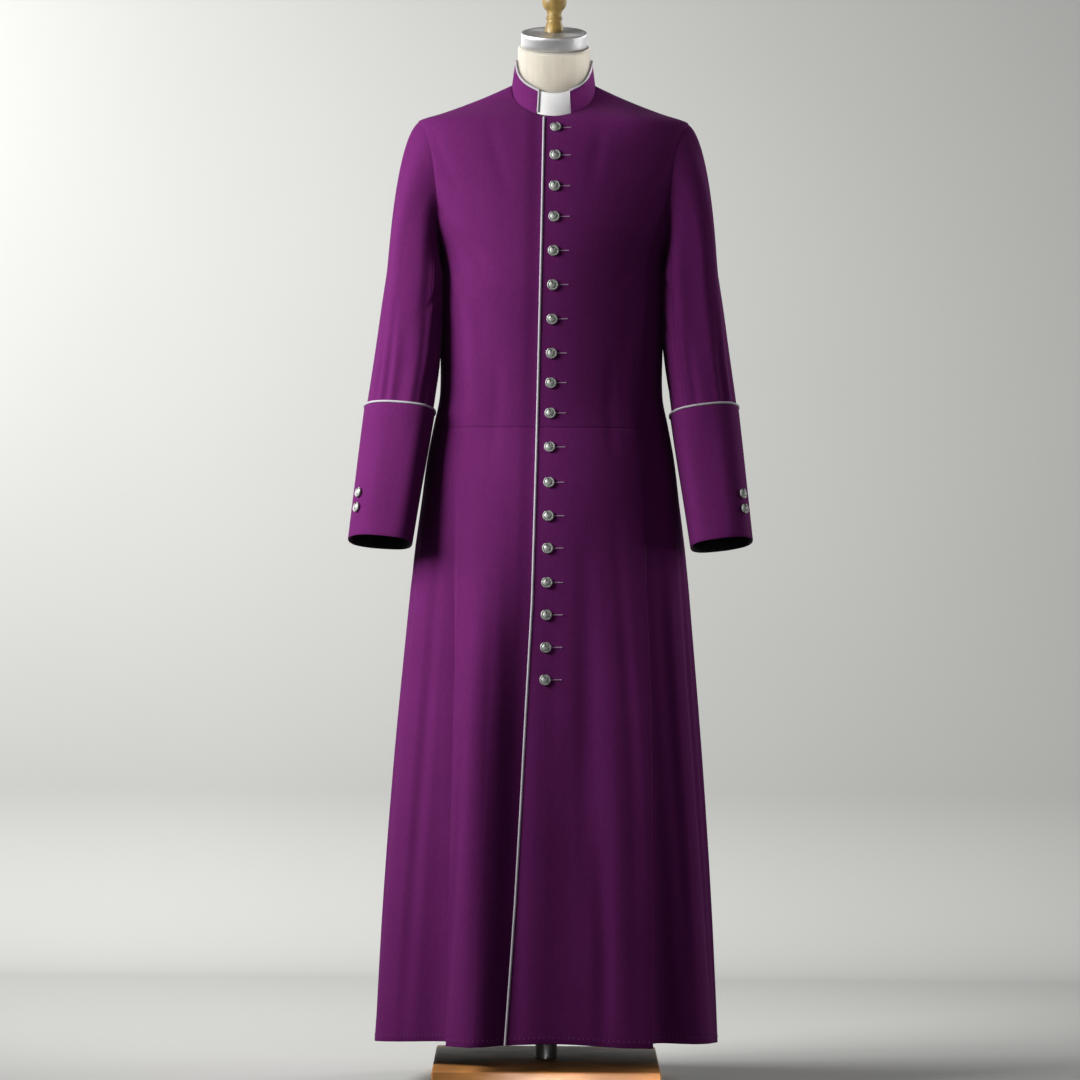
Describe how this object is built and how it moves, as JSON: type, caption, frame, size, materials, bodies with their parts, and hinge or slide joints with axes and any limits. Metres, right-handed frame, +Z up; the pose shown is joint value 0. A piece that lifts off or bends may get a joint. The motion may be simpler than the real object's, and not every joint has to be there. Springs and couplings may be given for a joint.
{
  "type": "cassock on a limbless dress form",
  "caption": "Floor-length purple cassock with a buttoned front, stand collar with white tab, deep piped cuffs and flared skirt, worn by a limbless dress form on a pole and base.",
  "frame": {"origin": "centre of the base's underside, on the pole's axis", "axes": "+Z up along the pole, -Y out of the garment's front, +X towards the wearer's left"},
  "size_m": [0.6342, 0.4672, 1.7571],
  "materials": {
    "cassock_cloth": "deep purple wool twill, matt with a soft nap",
    "piping": "silver-lilac satin corded piping",
    "buttons": "aged silver metal, domed with a raised rim",
    "collar_tab": "white, softly glossy",
    "form_linen": "cream linen, plain weave",
    "neck_plate": "brushed metal",
    "finial_wood": "honey coloured turned wood, satin varnish",
    "pole": "dark painted steel tube",
    "base_wood": "light brown wood, satin"
  },
  "bodies": {
    "root": {"base": "base_wood", "bodice_back": "cassock_cloth", "bodice_front_left": "cassock_cloth", "bodice_front_right": "cassock_cloth", "collar_band": "cassock_cloth", "collar_piping": "piping", "collar_tab": "collar_tab", "cuff_button_left_1": "buttons", "cuff_button_left_2": "buttons", "cuff_button_right_1": "buttons", "cuff_button_right_2": "buttons", "cuff_left": "cassock_cloth", "cuff_piping_left": "piping", "cuff_piping_right": "piping", "cuff_right": "cassock_cloth", "finial": "finial_wood", "form_torso": "form_linen", "front_button_01": "buttons", "front_button_02": "buttons", "front_button_03": "buttons", "front_button_04": "buttons", "front_button_05": "buttons", "front_button_06": "buttons", "front_button_07": "buttons", "front_button_08": "buttons", "front_button_09": "buttons", "front_button_10": "buttons", "front_button_11": "buttons", "front_button_12": "buttons", "front_button_13": "buttons", "front_button_14": "buttons", "front_button_15": "buttons", "front_button_16": "buttons", "front_button_17": "buttons", "front_button_18": "buttons", "front_edge_piping": "piping", "neck_cap": "neck_plate", "pole": "pole", "skirt_back": "cassock_cloth", "skirt_front_left": "cassock_cloth", "skirt_front_right": "cassock_cloth", "skirt_side_left": "cassock_cloth", "skirt_side_right": "cassock_cloth", "under_sleeve_left": "cassock_cloth", "under_sleeve_right": "cassock_cloth", "upper_sleeve_left": "cassock_cloth", "upper_sleeve_right": "cassock_cloth"}
  },
  "joints": []
}
